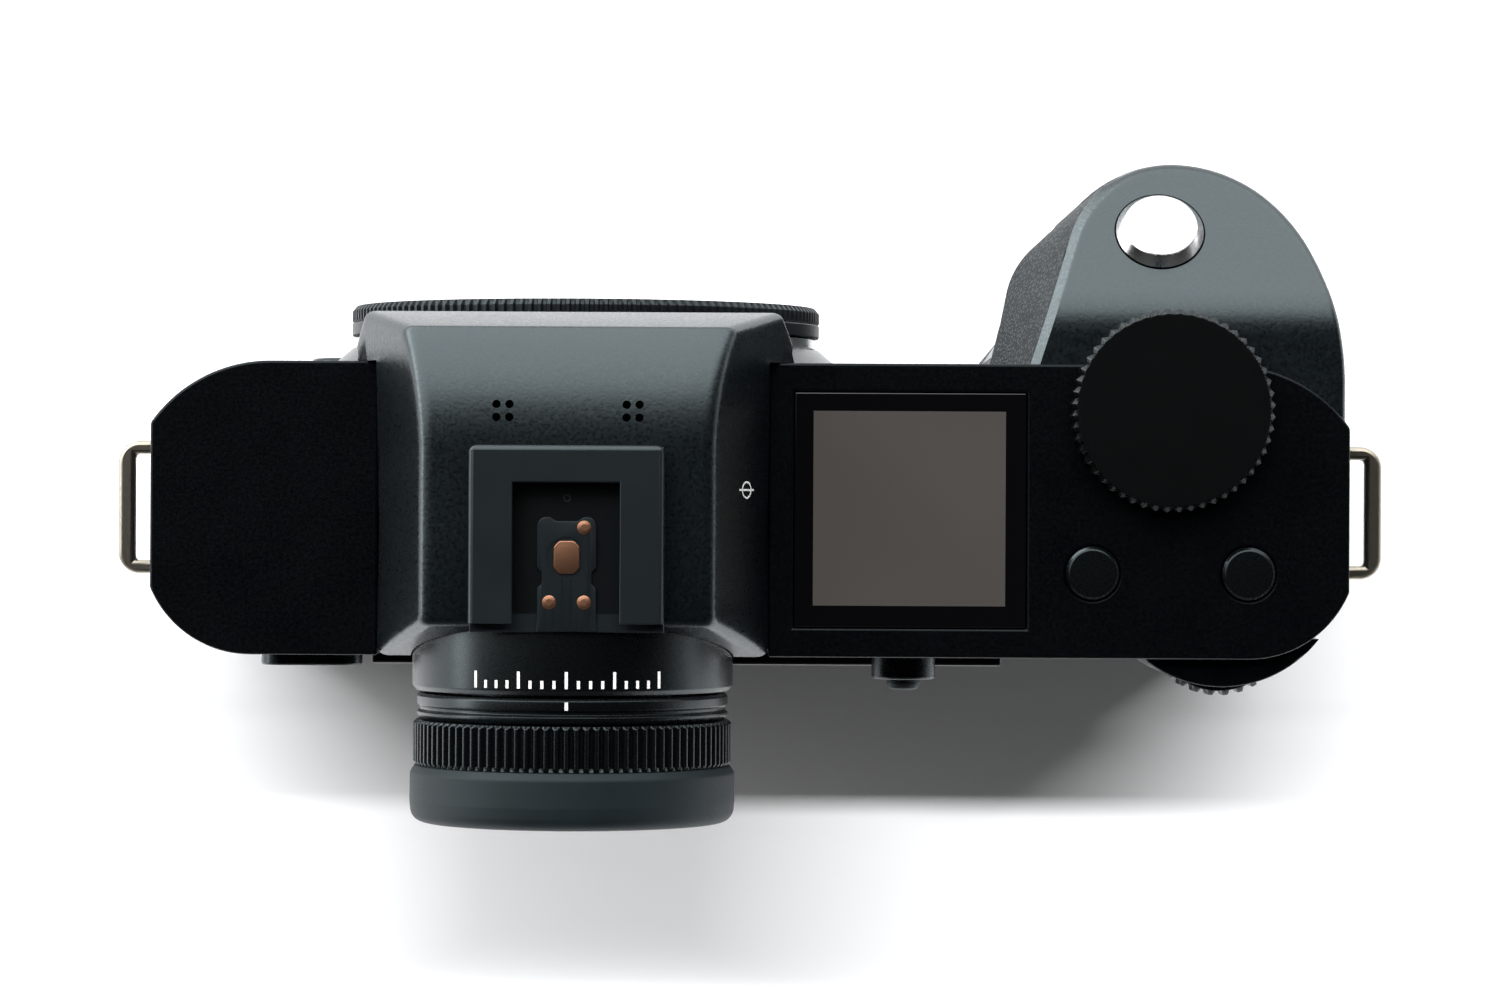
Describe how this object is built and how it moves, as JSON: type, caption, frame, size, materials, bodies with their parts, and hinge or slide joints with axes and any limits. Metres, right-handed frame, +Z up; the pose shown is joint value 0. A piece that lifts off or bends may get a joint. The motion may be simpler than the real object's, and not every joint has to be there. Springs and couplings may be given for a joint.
{
  "type": "mirrorless camera",
  "caption": "Full-frame mirrorless camera body with a deep hand grip, central viewfinder hump with round eyepiece, hot shoe, top display, dials and a capped lens mount.",
  "frame": {"origin": "mouth of the tripod socket, on the base plane, on the optical axis seen from the front", "axes": "+Z up; the lens mount and front face -Y, the screen and eyepiece +Y; the grip is towards -X, the longest extent lies along X"},
  "size_m": [0.1556, 0.0814, 0.107],
  "materials": {
    "painted_alloy": "fine satin black paint on magnesium alloy",
    "leatherette": "fine-grained black leatherette",
    "anodised_black": "black anodised, satin",
    "cast_alloy": "as cast",
    "bright_steel": "brushed",
    "dark_screw": "black oxide",
    "polished_button": "polished",
    "copper_contact": "plated",
    "black_plastic": "moulded, satin",
    "rubber": "soft moulded rubber",
    "screen_glass": "gloss cover glass over a display",
    "optical_glass": "coated",
    "blackened_metal": "matt blackened",
    "circuit_board": "green solder resist",
    "sensor_silicon": "sensor surface",
    "battery_shell": "moulded grey-black",
    "marking_white": "white filled marks"
  },
  "bodies": {
    "camera": {"top_plate_left": "painted_alloy", "top_plate_right": "painted_alloy", "viewfinder_housing": "painted_alloy", "rear_cover": "painted_alloy", "grip_cover": "painted_alloy", "base_plate": "painted_alloy", "front_cover": "painted_alloy", "leather_covering": "leatherette", "hot_shoe": "anodised_black", "mount_turret": "anodised_black", "eyepiece_barrel": "anodised_black", "chassis": "cast_alloy", "chassis_front_plate": "cast_alloy", "tripod_socket": "cast_alloy", "mount_ring": "bright_steel", "strap_lugs": "bright_steel", "slotted_screws": "dark_screw", "electrical_contacts": "copper_contact", "hot_shoe_contact_block": "black_plastic", "mount_contact_block": "black_plastic", "battery_box": "black_plastic", "joystick_collar": "black_plastic", "card_slot": "black_plastic", "port_sockets": "black_plastic", "viewfinder_panel": "black_plastic", "top_display": "screen_glass", "rear_display": "screen_glass", "eyepiece_lens": "optical_glass", "shutter_unit": "blackened_metal", "main_circuit_board": "circuit_board"},
    "shutter_button": {"shutter_button": "polished_button"},
    "top_dial": {"top_dial": "anodised_black"},
    "thumb_wheel": {"thumb_wheel": "anodised_black"},
    "top_button_inner": {"top_button_inner": "anodised_black"},
    "top_button_outer": {"top_button_outer": "anodised_black"},
    "rear_button_lower": {"rear_button_lower": "black_plastic"},
    "rear_button_middle": {"rear_button_middle": "black_plastic"},
    "rear_button_upper": {"rear_button_upper": "black_plastic"},
    "eyepiece_button": {"eyepiece_button": "black_plastic"},
    "front_button_upper": {"front_button_upper": "black_plastic"},
    "front_button_lower": {"front_button_lower": "black_plastic"},
    "lens_release": {"lens_release_button": "black_plastic"},
    "lock_pin": {"lens_lock_pin": "bright_steel"},
    "power_lever": {"power_lever": "anodised_black"},
    "diopter_rings": {"diopter_ring": "anodised_black", "eyecup": "rubber"},
    "stick_plunger": {"joystick_plunger": "anodised_black"},
    "stick_gimbal": {"joystick_gimbal": "anodised_black"},
    "stick": {"joystick_cap": "black_plastic"},
    "card_door": {"card_door": "black_plastic"},
    "port_door_lower": {"port_door_lower": "black_plastic"},
    "port_door_upper": {"port_door_upper": "black_plastic"},
    "battery": {"battery": "battery_shell"},
    "battery_lever": {"battery_lever": "black_plastic"},
    "cap": {"body_cap": "black_plastic", "body_cap_bayonet": "black_plastic"},
    "curtain": {"shutter_curtain": "blackened_metal"},
    "sensor_slider": {"stabiliser_slider": "cast_alloy"},
    "sensor": {"image_sensor": "sensor_silicon", "sensor_cover_glass": "optical_glass"}
  },
  "joints": [
    {"name": "shutter_press", "type": "slide", "parent": "camera", "child": "shutter_button", "axis": [0, 0.515, -0.8572], "range_m": [0, 0.001], "stiffness_N_per_m": 600, "springref_m": -0.001},
    {"name": "top_dial_turn", "type": "hinge", "parent": "camera", "child": "top_dial", "pos_m": [-0.0726, -0.01106, 0.0853], "axis": [0, 0, 1], "continuous": true},
    {"name": "thumb_wheel_turn", "type": "hinge", "parent": "camera", "child": "thumb_wheel", "pos_m": [-0.0794, 0.01476, 0.0745], "axis": [0, 0, 1], "continuous": true},
    {"name": "top_button_inner_press", "type": "slide", "parent": "camera", "child": "top_button_inner", "axis": [0, 0, -1], "range_m": [0, 0.0005], "stiffness_N_per_m": 600, "springref_m": -0.001},
    {"name": "top_button_outer_press", "type": "slide", "parent": "camera", "child": "top_button_outer", "axis": [0, 0, -1], "range_m": [0, 0.0005], "stiffness_N_per_m": 600, "springref_m": -0.001},
    {"name": "rear_button_lower_press", "type": "slide", "parent": "camera", "child": "rear_button_lower", "axis": [0, -1, 0], "range_m": [0, 0.0005], "stiffness_N_per_m": 600, "springref_m": -0.001},
    {"name": "rear_button_middle_press", "type": "slide", "parent": "camera", "child": "rear_button_middle", "axis": [0, -1, 0], "range_m": [0, 0.0005], "stiffness_N_per_m": 600, "springref_m": -0.001},
    {"name": "rear_button_upper_press", "type": "slide", "parent": "camera", "child": "rear_button_upper", "axis": [0, -1, 0], "range_m": [0, 0.0005], "stiffness_N_per_m": 600, "springref_m": -0.001},
    {"name": "eyepiece_button_press", "type": "slide", "parent": "camera", "child": "eyepiece_button", "axis": [0, -1, 0], "range_m": [0, 0.0005], "stiffness_N_per_m": 600, "springref_m": -0.001},
    {"name": "front_button_upper_press", "type": "slide", "parent": "camera", "child": "front_button_upper", "axis": [0, 1, 0], "range_m": [0, 0.0005], "stiffness_N_per_m": 600, "springref_m": -0.001},
    {"name": "front_button_lower_press", "type": "slide", "parent": "camera", "child": "front_button_lower", "axis": [0, 1, 0], "range_m": [0, 0.0005], "stiffness_N_per_m": 600, "springref_m": -0.001},
    {"name": "lens_release_press", "type": "slide", "parent": "camera", "child": "lens_release", "axis": [0, 1, 0], "range_m": [0, 0.0015], "stiffness_N_per_m": 800, "springref_m": -0.001},
    {"name": "lock_pin_retract", "type": "slide", "parent": "camera", "child": "lock_pin", "axis": [0, 1, 0], "range_m": [0, 0.0015]},
    {"name": "power_turn", "type": "hinge", "parent": "camera", "child": "power_lever", "pos_m": [0.03, 0.0195, 0.066], "axis": [0, 1, 0], "range_deg": [0, 35]},
    {"name": "diopter_turn", "type": "hinge", "parent": "camera", "child": "diopter_rings", "pos_m": [0, 0.03, 0.0842], "axis": [0, 1, 0], "range_deg": [-34, 34]},
    {"name": "stick_press", "type": "slide", "parent": "camera", "child": "stick_plunger", "axis": [0, -1, 0], "range_m": [0, 0.0004], "stiffness_N_per_m": 900, "springref_m": -0.001},
    {"name": "stick_tilt_up_down", "type": "hinge", "parent": "stick_plunger", "child": "stick_gimbal", "pos_m": [-0.0409, 0.0193, 0.066], "axis": [1, 0, 0], "range_deg": [-8, 8], "stiffness_Nm_per_rad": 0.02},
    {"name": "stick_tilt_left_right", "type": "hinge", "parent": "stick_gimbal", "child": "stick", "pos_m": [-0.0409, 0.0193, 0.066], "axis": [0, 0, 1], "range_deg": [-8, 8], "stiffness_Nm_per_rad": 0.02},
    {"name": "card_door_turn", "type": "hinge", "parent": "camera", "child": "card_door", "pos_m": [-0.0934, 0.0086, 0.0305], "axis": [0, 0, -1], "range_deg": [0, 95]},
    {"name": "port_door_lower_turn", "type": "hinge", "parent": "camera", "child": "port_door_lower", "pos_m": [0.0504, 0.0086, 0.0225], "axis": [0, 0, 1], "range_deg": [0, 95]},
    {"name": "port_door_upper_turn", "type": "hinge", "parent": "camera", "child": "port_door_upper", "pos_m": [0.0504, 0.0086, 0.0485], "axis": [0, 0, 1], "range_deg": [0, 95]},
    {"name": "battery_slide", "type": "slide", "parent": "camera", "child": "battery", "axis": [0, 0, 1], "range_m": [-0.062, 0]},
    {"name": "battery_lever_turn", "type": "hinge", "parent": "camera", "child": "battery_lever", "pos_m": [-0.0505, 0.002, 0.001], "axis": [0, 0, 1], "range_deg": [0, 30], "stiffness_Nm_per_rad": 0.02, "springref_deg": -17.19},
    {"name": "cap_pull", "type": "slide", "parent": "camera", "child": "cap", "axis": [0, -1, 0], "range_m": [0, 0.05]},
    {"name": "curtain_run", "type": "slide", "parent": "camera", "child": "curtain", "axis": [0, 0, 1], "range_m": [0, 0.0256]},
    {"name": "sensor_shift_x", "type": "slide", "parent": "camera", "child": "sensor_slider", "axis": [1, 0, 0], "range_m": [-0.0025, 0.0025]},
    {"name": "sensor_shift_z", "type": "slide", "parent": "sensor_slider", "child": "sensor", "axis": [0, 0, 1], "range_m": [-0.002, 0.002]}
  ],
  "couplings": [
    {"joint": "lock_pin_retract", "follows": "lens_release_press", "ratio": 1}
  ]
}
